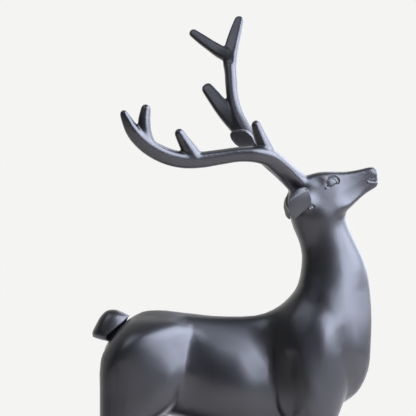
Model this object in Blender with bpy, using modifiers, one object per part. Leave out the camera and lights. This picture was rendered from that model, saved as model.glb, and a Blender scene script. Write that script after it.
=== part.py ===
"""Standing stag cast in one piece with its low base.

Metres, +Z up. The stag faces +X and its left side is +Y. The origin is the centre of the
base's underside, which is the flat face that the casting stands on.

Every mass of the body is a loft through named sections whose outline lies between a circle
and a rounded box. Two points in the plane y = side give the ends of a section's long axis and
half_width is its reach along Y. The masses are melted into one skin, a few broad hollows and
swellings are pressed into its flanks, the antlers, ears and tail are melted onto it, and the
result is joined to the base.
"""
import math
from collections import namedtuple

import bmesh
import bpy
import numpy as np
from mathutils import Matrix, Quaternion, Vector

MM = 0.001

# Base: a low plate with rounded corners and softened edges.
BASE_LENGTH = 184 * MM
BASE_WIDTH = 84 * MM
BASE_HEIGHT = 8 * MM
BASE_CORNER = 34 * MM
BASE_SOFTENING = 1.6 * MM
HOOF_SINK = 1.0 * MM

# Melting: the grain of the skin, and how far its hollows are filled.
BODY_GRAIN = 1.5 * MM
BODY_SOFTENING_STEPS = 3
SKIN_GRAIN = 1.1 * MM
SKIN_SOFTENING_STEPS = 2
SKIN_TRIANGLES = 9000

# How boxy the sections are: 2 is an ellipse, more is fuller, less is closer to a lozenge.
TORSO_ROUNDNESS = 2.4
HEAD_ROUNDNESS = 6.0
HIND_LEG_ROUNDNESS = 2.2
FORE_LEG_ROUNDNESS = 2.3

# Places on the two sides of the body, as distances from the middle plane.
HAUNCH_SIDE = 14
SHOULDER_SIDE = 12
HOOF_SIDE = 16

# The left legs stand a little out of line with the right ones, from these heights down.
LEFT_HIND_STEP = 9
LEFT_HIND_STEP_STARTS = 150
LEFT_FORE_STEP = -5
LEFT_FORE_STEP_STARTS = 130
STEP_DROP = 40

RESIN_COLOUR = (0.012, 0.0125, 0.0145, 1.0)
RESIN_ROUGHNESS = 0.42

# A section in millimetres: the upper or front end, the lower or back end and the half width.
# taper widens it towards end a by that share; bulk fills out its four quarters by that share.
Section = namedtuple("Section", "x_a z_a x_b z_b half_width taper bulk", defaults=(0.0, 0.0))
# A level of a leg: its height, its front and back, its half width and its distance from y = 0.
# taper narrows its front by that share.
Level = namedtuple("Level", "z front back half_width side taper", defaults=(0.0,))
# A joint of an antler in millimetres: its place and the radius there.
Knot = namedtuple("Knot", "x y z radius")
# A beam or tine: its joints, its thickness as a share of its breadth, how boxy it is, its
# breadth as a share of the joints' radius, its roll in degrees, the way its breadth lies when
# that isn't the plane of the antler, and whether its tip is domed.
Branch = namedtuple("Branch", "name knots thickness roundness fullness roll lies_along domed",
                    defaults=(0.92, 1.6, 1.04, 0.0, None, True))
# A hollow or swelling of both flanks: a line of X and Z, its height, and how far it fades out to
# the left and to the right of the line.
Stroke = namedtuple("Stroke", "line height reach_left reach_right")

TRUNK_AND_NECK = [
    Section(-76.8, 154.5, -78.0, 139.0, 7.0),  # buttock
    Section(-71.8, 161.8, -73.0, 124.0, 13.0),
    Section(-63.0, 171.3, -62.5, 116.0, 17.2, -0.10),  # croup
    Section(-52.5, 177.6, -50.0, 112.5, 19.5, -0.10),
    Section(-38.5, 178.5, -35.0, 109.5, 19.2, -0.08),
    Section(-22.0, 176.5, -20.0, 106.5, 18.2, -0.12, -0.04),  # waist
    Section(-8.0, 174.9, -5.0, 101.0, 21.2, -0.16, -0.09),
    Section(6.0, 174.3, 10.0, 96.5, 22.2, -0.17, -0.13),  # ribs
    Section(17.0, 174.5, 24.0, 94.5, 21.2, -0.16, -0.13),
    Section(26.0, 175.9, 42.0, 95.5, 19.6, -0.08, -0.08),  # girth
    Section(33.5, 178.8, 58.0, 102.0, 19.8, 0.0),
    Section(40.5, 183.5, 76.0, 115.5, 20.6, 0.02, 0.02),  # withers
    Section(45.5, 188.5, 88.8, 125.5, 21.5, 0.03, 0.03),  # brisket
    Section(48.7, 193.0, 94.8, 137.2, 21.6, -0.03, 0.03),
    Section(51.0, 200.0, 97.2, 158.0, 19.4, -0.03, 0.03),  # foot of the neck
    Section(52.2, 209.3, 97.3, 185.0, 15.7, 0.06),
    Section(52.2, 215.5, 93.8, 208.0, 13.4, 0.22),
    Section(51.2, 220.5, 88.5, 220.5, 13.0, 0.16),
    Section(49.9, 224.5, 83.2, 231.5, 13.7, 0.12),  # throat
    Section(47.2, 231.0, 81.0, 238.5, 15.1, 0.08),
    Section(44.5, 240.0, 80.4, 244.0, 16.0, 0.08),
    Section(45.0, 250.0, 78.0, 249.0, 14.4, 0.16),
    Section(51.0, 256.5, 73.0, 252.0, 7.0),  # inside the skull
]

HEAD = [
    Section(43.4, 256.5, 45.5, 248.0, 4.5),  # back of the skull
    Section(45.4, 261.0, 52.0, 242.5, 10.5),
    Section(51.5, 264.5, 60.0, 239.5, 13.8, -0.08),
    Section(57.5, 267.2, 68.0, 238.2, 14.0, -0.12),  # corner of the jaw
    Section(63.5, 268.6, 75.3, 239.4, 12.8, -0.14),
    Section(69.5, 269.0, 81.4, 243.4, 11.2, -0.14),  # brow
    Section(75.5, 268.9, 85.6, 247.2, 9.3, -0.13),
    Section(81.0, 269.0, 89.4, 250.8, 7.9, -0.12),  # bridge of the nose
    Section(87.0, 269.8, 93.3, 254.2, 6.7, -0.10),
    Section(92.5, 271.0, 97.2, 256.7, 5.8, -0.08),
    Section(97.2, 272.0, 100.2, 258.5, 5.2, -0.05),  # muzzle
    Section(100.4, 271.6, 101.6, 259.6, 4.4),
    Section(101.7, 269.3, 101.9, 261.5, 3.0),
]

TAIL = [
    Section(-60.6, 174.8, -61.4, 173.4, 2.5),  # pointed root on the croup
    Section(-65.2, 177.0, -64.2, 171.4, 5.4),
    Section(-70.0, 178.6, -67.4, 168.8, 7.2),
    Section(-75.5, 177.9, -70.8, 166.0, 8.4),
    Section(-79.6, 174.1, -73.6, 163.7, 9.1),
    Section(-82.6, 168.8, -75.4, 161.8, 9.4),
    Section(-84.9, 163.8, -75.7, 159.7, 8.6),
    Section(-84.7, 161.0, -77.2, 158.8, 5.0),  # tip
]
TAIL_KEEL = 0.8

# Haunch, thigh and lower hind leg, from the croup down to the hoof.
HIND_LEG = [
    Level(174.6, -30.0, -56.0, 7.0, 4.4, 0.1),
    Level(171.0, -23.5, -63.0, 12.2, 8.0, 0.3),
    Level(166.0, -20.5, -68.0, 14.2, 10.4, 0.44),
    Level(158.0, -21.0, -73.5, 15.0, 12.6, 0.52),
    Level(150.0, -21.4, -77.8, 15.3, 13.6, 0.44),
    Level(140.0, -22.8, -79.3, 15.4, 13.6, 0.28),
    Level(130.0, -25.2, -79.3, 15.3, 13.5, 0.14),
    Level(121.0, -28.5, -79.3, 15.0, 13.4, 0.08),
    Level(113.5, -35.5, -79.3, 14.5, 13.4, 0.04),  # flank fold
    Level(105.5, -46.5, -79.0, 12.9, 13.7, 0.05),
    Level(96.0, -54.0, -78.5, 11.2, 14.4),
    Level(84.0, -58.5, -78.0, 8.8, 15.2),
    Level(72.0, -63.0, -79.0, 6.8, HOOF_SIDE),
    Level(62.0, -66.5, -81.6, 5.6, HOOF_SIDE),  # hock
    Level(54.0, -69.0, -81.4, 5.0, HOOF_SIDE),
    Level(44.0, -69.0, -78.6, 4.3, HOOF_SIDE),
    Level(32.0, -67.3, -76.2, 4.1, HOOF_SIDE),  # cannon
    Level(23.0, -65.2, -75.2, 4.8, HOOF_SIDE),  # fetlock
    Level(17.5, -63.0, -72.3, 4.5, HOOF_SIDE),  # pastern
    Level(13.5, -60.3, -72.3, 5.4, HOOF_SIDE),
    Level(7.0, -57.0, -72.8, 6.4, HOOF_SIDE),  # hoof
]

# Shoulder, forearm and lower foreleg.
FORE_LEG = [
    Level(187.0, 66.0, 50.0, 7.0, 6.0),
    Level(180.0, 71.5, 43.0, 10.8, 9.2, -0.10),
    Level(172.0, 75.8, 37.0, 12.4, 10.6, -0.12),
    Level(164.0, 78.6, 34.5, 13.5, 11.4, -0.10),
    Level(154.0, 80.8, 32.0, 14.6, SHOULDER_SIDE, 0.0),
    Level(142.0, 82.0, 31.5, 15.5, SHOULDER_SIDE, 0.08),
    Level(130.0, 81.4, 32.0, 16.1, SHOULDER_SIDE, 0.12),
    Level(119.0, 78.4, 34.5, 15.9, SHOULDER_SIDE, 0.12),
    Level(108.0, 74.4, 40.5, 13.4, 12.2, 0.08),  # elbow
    Level(98.0, 72.0, 46.5, 10.0, 13.4),
    Level(86.0, 69.6, 51.0, 8.3, 14.4),
    Level(72.0, 67.6, 54.0, 6.8, 15.3),
    Level(60.0, 67.6, 55.2, 6.3, HOOF_SIDE),  # knee
    Level(53.0, 66.8, 55.8, 5.6, HOOF_SIDE),
    Level(43.0, 65.6, 56.6, 4.3, HOOF_SIDE),
    Level(31.0, 65.2, 56.6, 4.1, HOOF_SIDE),  # cannon
    Level(23.0, 66.2, 56.2, 4.8, HOOF_SIDE),  # fetlock
    Level(17.5, 68.0, 58.0, 4.5, HOOF_SIDE),  # pastern
    Level(13.5, 70.6, 58.6, 5.4, HOOF_SIDE),
    Level(7.0, 73.6, 57.8, 6.4, HOOF_SIDE),  # hoof
]

# The right antler sweeps back and curls up; the left one rises.
RIGHT_ANTLER = [
    Branch("beam", [
        Knot(56.0, -4.0, 255.0, 8.0), Knot(49.0, -7.0, 261.5, 7.3), Knot(42.5, -12.0, 267.3, 6.6),
        Knot(36.5, -18.0, 272.7, 6.2), Knot(30.0, -23.5, 277.3, 5.8), Knot(21.5, -28.0, 279.4, 5.2),
        Knot(11.5, -30.0, 279.4, 4.7), Knot(-1.5, -31.6, 277.6, 4.8), Knot(-14.0, -33.6, 275.8, 5.1),
        Knot(-27.0, -36.8, 275.9, 5.2), Knot(-39.6, -40.8, 279.8, 5.2), Knot(-49.2, -44.2, 285.9, 5.0),
        Knot(-56.4, -47.0, 293.7, 4.4), Knot(-60.2, -48.4, 300.6, 3.3), Knot(-61.8, -48.9, 304.0, 2.6),
    ], thickness=0.92, roundness=3.0, fullness=0.98, roll=-20),
    Branch("brow tine", [
        Knot(31.0, -23.0, 277.0, 4.8), Knot(27.4, -23.5, 284.0, 4.7), Knot(24.0, -24.0, 291.4, 4.1),
        Knot(21.6, -25.0, 298.2, 3.2),
    ], roundness=1.8, roll=8),
    Branch("middle tine", [
        Knot(-16.8, -34.6, 275.5, 5.2), Knot(-20.6, -35.6, 281.4, 5.0), Knot(-24.4, -37.0, 287.4, 4.0),
        Knot(-27.2, -38.6, 292.3, 3.2),
    ], roundness=1.8, roll=15),
    Branch("upper tine", [
        Knot(-46.8, -43.2, 285.5, 4.6), Knot(-48.6, -44.0, 291.5, 4.3), Knot(-49.3, -44.4, 299.5, 4.0),
        Knot(-48.3, -43.8, 307.4, 3.2),
    ], roundness=1.7, roll=22),
]
LEFT_ANTLER = [
    Branch("beam", [
        Knot(56.0, 5.0, 255.0, 8.0), Knot(49.2, 7.0, 261.7, 7.0), Knot(40.3, 11.0, 269.6, 6.0),
        Knot(29.7, 17.0, 278.9, 5.6), Knot(20.4, 22.0, 288.7, 5.7), Knot(14.3, 26.0, 298.5, 5.4),
        Knot(9.9, 30.0, 309.0, 4.5), Knot(7.3, 34.0, 320.5, 4.0), Knot(6.4, 38.0, 332.5, 4.1),
        Knot(5.9, 41.0, 341.0, 4.2),
    ], roundness=1.9, roll=-12),
    Branch("crown", [
        Knot(6.4, 38.0, 332.5, 3.2), Knot(5.7, 42.0, 344.0, 4.9), Knot(6.9, 45.0, 354.5, 5.0),
        Knot(9.4, 48.0, 364.5, 4.4), Knot(12.0, 50.0, 373.6, 3.4),
    ], thickness=0.6, roundness=6.0, fullness=0.94, roll=-20),
    Branch("brow tine", [
        Knot(24.0, 20.0, 287.0, 6.0), Knot(16.5, 12.0, 290.0, 7.0), Knot(14.0, 6.0, 291.2, 8.6),
        Knot(13.4, 1.5, 290.4, 8.7),
    ], thickness=0.66, roundness=1.6, lies_along=(1.0, 0.0, -0.4), domed=False),
    Branch("middle tine", [
        Knot(17.0, 26.0, 292.5, 5.4), Knot(10.3, 28.5, 300.7, 6.0), Knot(2.3, 32.0, 310.2, 5.7),
        Knot(-4.6, 36.5, 319.6, 5.0), Knot(-9.2, 39.5, 325.8, 4.3),
    ], thickness=0.65, roundness=5.0, fullness=0.95, roll=2),
    Branch("upper tine", [
        Knot(6.5, 42.5, 347.5, 4.8), Knot(-1.0, 45.0, 351.8, 4.7), Knot(-7.5, 48.0, 356.3, 4.1),
        Knot(-13.0, 50.7, 360.4, 3.8), Knot(-19.2, 53.5, 365.2, 3.1),
    ], thickness=0.65, roundness=5.0, fullness=0.95, roll=6),
]

# Ear: outlines in X and Z of its root on the skull, its dome and its flat leaf.
EAR_ROOT = [
    (48.5, 252.0), (49.5, 254.5), (51.0, 256.3), (53.5, 257.0), (56.5, 256.0), (58.8, 252.0), (58.2, 249.5),
    (56.5, 248.0), (54.0, 247.0), (51.5, 246.5), (50.0, 247.5), (49.2, 248.6), (48.4, 250.0), (48.2, 251.0),
]
EAR_DOME = [
    (43.0, 251.9), (45.4, 255.2), (49.0, 257.9), (52.6, 258.8), (55.8, 257.6), (57.3, 251.0), (56.4, 247.6),
    (54.6, 245.8), (51.2, 243.2), (46.6, 239.0), (45.0, 240.0), (44.2, 241.6), (43.0, 246.4), (42.7, 250.2),
]
EAR_LEAF = [
    (43.4, 250.6), (46.4, 252.2), (49.3, 253.8), (52.4, 255.5), (55.4, 257.0), (57.7, 250.8), (56.9, 247.0),
    (55.0, 245.1), (51.8, 242.2), (46.1, 237.2), (44.3, 238.6), (43.2, 240.4), (42.0, 245.8), (42.4, 249.4),
]
EAR_SIDES = (7.0, 18.4, 20.4)
EAR_LEAN = 0.3
EAR_TURN = 0.4
EAR_MOUND = [(5.0, 11.0), (9.0, 10.6), (12.0, 9.0), (14.0, 6.4), (15.0, 4.0)]
EAR_MOUND_PLACE = (53.4, 249.5)
LEFT_EAR_SETBACK = 0.9

FLANK_STROKES = [
    Stroke(((73.0, 222.0), (77.5, 208.0), (79.0, 192.0), (76.0, 174.0)), 1.2, 14.0, 16.0),  # neck
    Stroke(((98.0, 188.0), (99.0, 160.0), (91.0, 124.0)), -3.5, 8.0, 22.0),  # breast
    Stroke(((66.0, 190.0), (66.5, 172.0), (68.5, 150.0)), 1.3, 12.0, 12.0),  # shoulder blade
    Stroke(((52.0, 164.0), (50.0, 150.0), (50.5, 136.0), (53.0, 120.0)), 2.4, 25.0, 8.0),  # shoulder muscle
    Stroke(((42.0, 148.0), (43.0, 134.0), (45.0, 120.0)), -4.2, 10.0, 32.0),  # behind the elbow
    Stroke(((56.0, 250.0), (56.5, 252.0)), 1.2, 7.0, 7.0),  # root of the ear
    Stroke(((-84.0, 152.0), (-74.0, 168.0), (-60.0, 177.0), (-44.0, 182.0)), -6.0, 14.0, 17.0),  # croup
    Stroke(((-24.0, 138.5), (-29.0, 136.0)), 1.4, 14.0, 16.0),  # muscle above the flank fold
    Stroke(((60.0, 263.2), (62.0, 262.6)), -0.8, 5.0, 5.0),  # temple
]


def clear_scene():
    """Remove whatever objects the scene holds."""
    for existing in list(bpy.data.objects):
        bpy.data.objects.remove(existing, do_unlink=True)


def new_collection(name):
    """Make a collection in the scene."""
    collection = bpy.data.collections.new(name)
    bpy.context.scene.collection.children.link(collection)
    return collection


def smooth_rows(rows, spacing):
    """Run a smooth curve through rows of numbers and read it at even steps of about spacing."""
    table = np.array(rows, dtype=float)
    steps = np.linalg.norm(np.diff(table, axis=0), axis=1)
    place = np.concatenate(([0.0], np.cumsum(steps)))
    slope = np.gradient(table, place, axis=0)
    count = max(2, int(round(place[-1] / spacing)) + 1)
    result = []
    for at in np.linspace(0.0, place[-1], count):
        span = min(int(np.searchsorted(place, at, side="right")) - 1, len(place) - 2)
        width = place[span + 1] - place[span]
        t = (at - place[span]) / width
        start = (1 + 2 * t) * (1 - t) ** 2 * table[span] + t * (1 - t) ** 2 * width * slope[span]
        end = t * t * (3 - 2 * t) * table[span + 1] + t * t * (t - 1) * width * slope[span + 1]
        result.append(start + end)
    return result


def soft_outline(sides, roundness):
    """Points of a unit outline: a circle at roundness 2, a lozenge towards 1, a box far above 2."""
    points = []
    for number in range(sides):
        x = math.cos(2 * math.pi * number / sides)
        y = math.sin(2 * math.pi * number / sides)
        reach = (abs(x) ** roundness + abs(y) ** roundness) ** (-1 / roundness)
        points.append((x * reach, y * reach))
    return points


def domed_outline(sides, keel):
    """Points of a unit outline that is domed on one side and has a keel on the other."""
    dome = np.linspace(-math.pi / 2, math.pi / 2, sides)
    points = [(2 * math.cos(angle) - 1, math.sin(angle)) for angle in dome]
    return points + [(-0.95, 0.5), (-1 - keel, 0.3), (-1 - keel, -0.3), (-0.95, -0.5)]


def section_ring(end_a, end_b, half_width, outline, taper=0.0, bulk=0.0):
    """Lay an outline between two ends, with its other axis along Y."""
    centre = (end_a + end_b) / 2
    half = (end_a - end_b) / 2
    ring = []
    for along, across in outline:
        quarter = (2 * along * across / (along**2 + across**2)) ** 2
        swell = 1 + bulk * quarter
        reach = half_width * across * swell * (1 + taper * along)
        ring.append(centre + half * along * swell + Vector((0, reach, 0)))
    return ring


def mesh_object(name, mesh, collection):
    """Put a mesh in the scene as an object of a collection."""
    made = bpy.data.objects.new(name, mesh)
    collection.objects.link(made)
    return made


def loft(name, rings, collection):
    """Skin a row of equal rings, given in millimetres, and close both ends."""
    shape = bmesh.new()
    loops = [[shape.verts.new(point * MM) for point in ring] for ring in rings]
    sides = len(loops[0])
    for near, far in zip(loops, loops[1:]):
        for side in range(sides):
            after = (side + 1) % sides
            shape.faces.new((near[side], near[after], far[after], far[side]))
    shape.faces.new(loops[0])
    shape.faces.new(loops[-1])
    bmesh.ops.recalc_face_normals(shape, faces=shape.faces)
    mesh = bpy.data.meshes.new(name)
    shape.to_mesh(mesh)
    shape.free()
    return mesh_object(name, mesh, collection)


def section_mass(name, sections, outline, collection, spacing=3.0):
    """Loft a mass that lies on the middle plane."""
    rings = []
    for x_a, z_a, x_b, z_b, half_width, taper, bulk in smooth_rows(sections, spacing):
        end_a = Vector((x_a, 0, z_a))
        end_b = Vector((x_b, 0, z_b))
        rings.append(section_ring(end_a, end_b, half_width, outline, taper, bulk))
    return loft(name, rings, collection)


def leg(name, levels, outline, side_sign, collection, step=0, step_starts=0, spacing=2.5):
    """Loft a leg with its haunch or shoulder, stepped along X below a height."""
    rings = []
    for z, front, back, half_width, side, taper in smooth_rows(levels, spacing):
        shift = step * min(1.0, max(0.0, (step_starts - z) / STEP_DROP))
        end_a = Vector((front + shift, side_sign * side, z))
        end_b = Vector((back + shift, side_sign * side, z))
        rings.append(section_ring(end_a, end_b, half_width, outline, -taper))
    return loft(name, rings, collection)


def bar_axes(ahead, lies_along, roll):
    """The broad and the thin way of a bar that runs ahead, turned about its line by roll."""
    broad = Vector(lies_along) if lies_along else Vector((0, 1, 0)).cross(ahead)
    broad = (broad - ahead * broad.dot(ahead)).normalized()
    turned = Matrix.Rotation(roll, 3, ahead)
    return turned @ broad, turned @ ahead.cross(broad)


def bar(name, branch, collection, spacing=2.0, sides=16):
    """Make one beam or tine: a tapering bar with a domed tip."""
    rows = smooth_rows(branch.knots, spacing)
    tip = Vector(rows[-1][:3])
    ahead = (tip - Vector(rows[-2][:3])).normalized()
    tip_radius = rows[-1][3]
    for angle in (0.5, 0.95, 1.3) if branch.domed else ():
        place = tip + ahead * tip_radius * math.sin(angle)
        rows.append(np.array((*place, tip_radius * math.cos(angle))))
    centres = [Vector(row[:3]) for row in rows]
    outline = soft_outline(sides, branch.roundness)
    rings = []
    for number, row in enumerate(rows):
        after = centres[min(number + 1, len(rows) - 1)]
        before = centres[max(number - 1, 0)]
        broad, thin = bar_axes((after - before).normalized(), branch.lies_along, math.radians(branch.roll))
        radius = row[3] * branch.fullness
        rings.append([centres[number] + broad * radius * x + thin * radius * branch.thickness * y
                      for x, y in outline])
    return loft(name, rings, collection)


def antler(name, branches, collection):
    """Make the beam and the tines of one antler."""
    return [bar(f"{name} {branch.name}", branch, collection) for branch in branches]


def ear_mound(name, side_sign, setback, collection):
    """Make the soft mound that carries an ear."""
    x, z = EAR_MOUND_PLACE
    knots = [Knot(x - setback, side_sign * y, z, radius) for y, radius in EAR_MOUND]
    return bar(name, Branch(name, knots, thickness=1.0, roundness=2.0, fullness=1.0), collection)


def ear(name, side_sign, setback, collection):
    """Make one drooping ear, from its root over its dome to its flat leaf."""
    middle, height = np.mean(EAR_LEAF, axis=0)
    rings = []
    for side, outline in zip(EAR_SIDES, (EAR_ROOT, EAR_DOME, EAR_LEAF)):
        ring = []
        for x, z in outline:
            y = side + EAR_LEAN * (z - height) - EAR_TURN * (x - middle)
            ring.append(Vector((x - setback, side_sign * y, z)))
        rings.append(ring)
    return loft(name, rings, collection)


def evaluated_mesh(source):
    """The mesh of an object with its modifiers worked out."""
    graph = bpy.context.evaluated_depsgraph_get()
    return bpy.data.meshes.new_from_object(source.evaluated_get(graph))


def melt(name, pieces, grain, softening_steps, collection):
    """Join closed pieces into one skin of a given grain, with its hollows softened."""
    shape = bmesh.new()
    for piece in pieces:
        shape.from_mesh(piece.data)
    mesh = bpy.data.meshes.new(name)
    shape.to_mesh(mesh)
    shape.free()
    skin = mesh_object(name, mesh, collection)
    remesh = skin.modifiers.new("One skin", "REMESH")
    remesh.mode = "VOXEL"
    remesh.voxel_size = grain
    soften = skin.modifiers.new("Softened hollows", "SMOOTH")
    soften.factor = 0.5
    soften.iterations = softening_steps
    melted = mesh_object(f"{name} cast", evaluated_mesh(skin), collection)
    bpy.data.objects.remove(skin, do_unlink=True)
    return melted


def stroke_height(stroke, x, z, spacing=3.0):
    """How far a stroke lifts the points at x and z, in millimetres."""
    nearest = np.full(len(x), np.inf)
    side = np.zeros(len(x))
    line = smooth_rows(stroke.line, spacing)
    for (x_a, z_a), (x_b, z_b) in zip(line, line[1:]):
        way_x, way_z = x_b - x_a, z_b - z_a
        along = ((x - x_a) * way_x + (z - z_a) * way_z) / (way_x**2 + way_z**2)
        along = np.clip(along, 0.0, 1.0)
        off_x = x - x_a - along * way_x
        off_z = z - z_a - along * way_z
        distance = np.hypot(off_x, off_z)
        closer = distance < nearest
        nearest[closer] = distance[closer]
        side[closer] = (way_x * off_z - way_z * off_x)[closer]
    reach = np.where(side > 0, stroke.reach_left, stroke.reach_right)
    return stroke.height * np.clip(1 - (nearest / reach) ** 2, 0.0, 1.0) ** 2


def press_flanks(skin, strokes):
    """Press the hollows and swellings into both flanks, where they face outwards."""
    points = np.empty(len(skin.data.vertices) * 3)
    normals = np.empty(len(points))
    skin.data.vertices.foreach_get("co", points)
    skin.data.vertices.foreach_get("normal", normals)
    points = points.reshape(-1, 3)
    x, z = points[:, 0] / MM, points[:, 2] / MM
    lift = sum(stroke_height(stroke, x, z) for stroke in strokes)
    facing = np.clip(np.abs(normals.reshape(-1, 3)[:, 1]) * 1.6 - 0.2, 0.0, 1.0)
    points[:, 1] += np.sign(points[:, 1]) * lift * facing * MM
    skin.data.vertices.foreach_set("co", points.ravel())
    skin.data.update()


def thin_out(skin, triangles):
    """Lower the number of triangles, keeping them where the form bends most."""
    skin.data.calc_loop_triangles()
    reduce = skin.modifiers.new("Fewer facets", "DECIMATE")
    reduce.ratio = triangles / len(skin.data.loop_triangles)
    reduce.use_collapse_triangulate = True
    skin.data = evaluated_mesh(skin)
    skin.modifiers.clear()


def edges_by_rise(shape, upright):
    """The plate's upright edges, or its level ones."""
    rises = {edge: abs(edge.verts[0].co.z - edge.verts[1].co.z) for edge in shape.edges}
    return [edge for edge, rise in rises.items() if (rise > MM) == upright]


def base_plate(name, collection):
    """Make the low base: a rounded plate with softened edges, its underside at z = 0."""
    shape = bmesh.new()
    bmesh.ops.create_cube(shape, size=1.0)
    bmesh.ops.scale(shape, vec=(BASE_LENGTH, BASE_WIDTH, BASE_HEIGHT), verts=shape.verts)
    bmesh.ops.translate(shape, vec=(0, 0, BASE_HEIGHT / 2), verts=shape.verts)
    for offset, segments, upright in ((BASE_CORNER, 12, True), (BASE_SOFTENING, 3, False)):
        edges = edges_by_rise(shape, upright)
        bmesh.ops.bevel(shape, geom=edges, offset=offset, segments=segments, affect="EDGES", profile=0.5)
    mesh = bpy.data.meshes.new(name)
    shape.to_mesh(mesh)
    shape.free()
    return mesh_object(name, mesh, collection)


def resin():
    """Matt black cast resin."""
    material = bpy.data.materials.new("matte black resin")
    material.use_nodes = True
    shader = material.node_tree.nodes["Principled BSDF"]
    shader.inputs["Base Color"].default_value = RESIN_COLOUR
    shader.inputs["Roughness"].default_value = RESIN_ROUGHNESS
    shader.inputs["Metallic"].default_value = 0.0
    material.diffuse_color = RESIN_COLOUR
    return material


def body(workings):
    """Model the stag without its antlers, ears and tail."""
    torso_outline = soft_outline(32, TORSO_ROUNDNESS)
    head_outline = soft_outline(32, HEAD_ROUNDNESS)
    hind_outline = soft_outline(24, HIND_LEG_ROUNDNESS)
    fore_outline = soft_outline(24, FORE_LEG_ROUNDNESS)
    masses = [
        section_mass("trunk and neck", TRUNK_AND_NECK, torso_outline, workings),
        section_mass("head", HEAD, head_outline, workings, spacing=2.0),
        leg("right hind leg", HIND_LEG, hind_outline, -1, workings),
        leg("left hind leg", HIND_LEG, hind_outline, 1, workings, LEFT_HIND_STEP, LEFT_HIND_STEP_STARTS),
        leg("right foreleg", FORE_LEG, fore_outline, -1, workings),
        leg("left foreleg", FORE_LEG, fore_outline, 1, workings, LEFT_FORE_STEP, LEFT_FORE_STEP_STARTS),
        ear_mound("right ear mound", -1, 0.0, workings),
        ear_mound("left ear mound", 1, LEFT_EAR_SETBACK, workings),
    ]
    skin = melt("body", masses, BODY_GRAIN, BODY_SOFTENING_STEPS, workings)
    press_flanks(skin, FLANK_STROKES)
    return skin


def figure(workings):
    """Model the stag without its base and return it as one skin."""
    trimmings = [
        section_mass("tail", TAIL, domed_outline(16, TAIL_KEEL), workings, spacing=1.5),
        ear("right ear", -1, 0.0, workings),
        ear("left ear", 1, LEFT_EAR_SETBACK, workings),
    ]
    trimmings += antler("right antler", RIGHT_ANTLER, workings)
    trimmings += antler("left antler", LEFT_ANTLER, workings)
    skin = melt("stag", [body(workings), *trimmings], SKIN_GRAIN, SKIN_SOFTENING_STEPS, workings)
    thin_out(skin, SKIN_TRIANGLES)
    skin.location.z = -HOOF_SINK
    return skin


def main():
    """Build the casting."""
    clear_scene()
    sculpture = new_collection("deer sculpture")
    workings = new_collection("workings")
    stag = figure(workings)
    deer = base_plate("deer", sculpture)
    join = deer.modifiers.new("Stag on its base", "BOOLEAN")
    join.operation = "UNION"
    join.solver = "EXACT"
    join.object = stag
    deer.data.materials.append(resin())
    deer.data.polygons.foreach_set("use_smooth", [False] * len(deer.data.polygons))
    for piece in workings.objects:
        piece.hide_render = True
        piece.display_type = "WIRE"


main()
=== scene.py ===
"""Standing stag, cast in one piece with its low base, in satin matt black resin.

The masses of the animal are drawn out ring by ring in edit mode, melted into one skin,
and the eyes, nostrils and mouth are carved into it. The finished casting takes the place
of the frame's solid, node "deer".
"""
from __future__ import annotations

import logging
import math
from dataclasses import dataclass
from enum import Enum
from typing import NamedTuple, Sequence

import bmesh
import bpy
import numpy as np
from mathutils import Matrix, Quaternion, Vector


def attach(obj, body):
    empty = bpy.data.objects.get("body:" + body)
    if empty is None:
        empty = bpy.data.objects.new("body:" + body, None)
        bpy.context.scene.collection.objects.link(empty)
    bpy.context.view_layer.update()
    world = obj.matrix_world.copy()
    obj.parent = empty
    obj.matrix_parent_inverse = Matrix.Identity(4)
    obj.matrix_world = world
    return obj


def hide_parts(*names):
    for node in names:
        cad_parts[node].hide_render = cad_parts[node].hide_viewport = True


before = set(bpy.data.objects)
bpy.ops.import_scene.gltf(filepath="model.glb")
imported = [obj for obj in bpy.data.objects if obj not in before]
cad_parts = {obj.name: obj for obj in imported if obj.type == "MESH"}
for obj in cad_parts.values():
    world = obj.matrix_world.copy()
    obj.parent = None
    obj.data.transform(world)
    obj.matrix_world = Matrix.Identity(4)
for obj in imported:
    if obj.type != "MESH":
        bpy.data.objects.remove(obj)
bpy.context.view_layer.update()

log = logging.getLogger("stag")

MM = 0.001
NODE = "deer"

SMOOTHING = 0.5  # how far one smoothing pass moves a point towards its neighbours
TINY = 1e-6


class Side(Enum):
    """The two sides of the animal, as the sign of Y."""

    RIGHT = -1
    LEFT = 1


class Section(NamedTuple):
    """An upright section through a mass, in millimetres: the ends of its long axis and its half width.

    taper widens the section towards end a and narrows it towards end b by that share; bulk fills out
    its four quarters by that share.
    """

    x_a: float
    z_a: float
    x_b: float
    z_b: float
    half_width: float
    taper: float = 0.0
    bulk: float = 0.0


class Level(NamedTuple):
    """A level section through a leg, in millimetres, at a distance of side from the middle plane.

    taper narrows its front edge by that share.
    """

    z: float
    front: float
    back: float
    half_width: float
    side: float = 16.0
    taper: float = 0.0


class Knot(NamedTuple):
    """A place on the line of a beam or tine and the radius there, in millimetres."""

    x: float
    y: float
    z: float
    radius: float


# ---------------------------------------------------------------------------- working tools


def deselect_all() -> None:
    """Leave nothing selected, in object mode."""
    if bpy.context.object and bpy.context.object.mode != "OBJECT":
        bpy.ops.object.mode_set(mode="OBJECT")
    bpy.ops.object.select_all(action="DESELECT")


def pick(piece: bpy.types.Object) -> None:
    """Make one object the only selected one and the active one.

    Args:
        piece: the object to work on.
    """
    deselect_all()
    piece.select_set(True)
    bpy.context.view_layer.objects.active = piece


def apply_modifier(piece: bpy.types.Object, kind: str, **settings: object) -> None:
    """Add a modifier to an object and apply it at once.

    Args:
        piece: the object to change.
        kind: the modifier's type.
        settings: the modifier's values by name.
    """
    pick(piece)
    modifier = piece.modifiers.new(kind.title(), kind)
    for name, value in settings.items():
        setattr(modifier, name, value)
    bpy.ops.object.modifier_apply(modifier=modifier.name)


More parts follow.
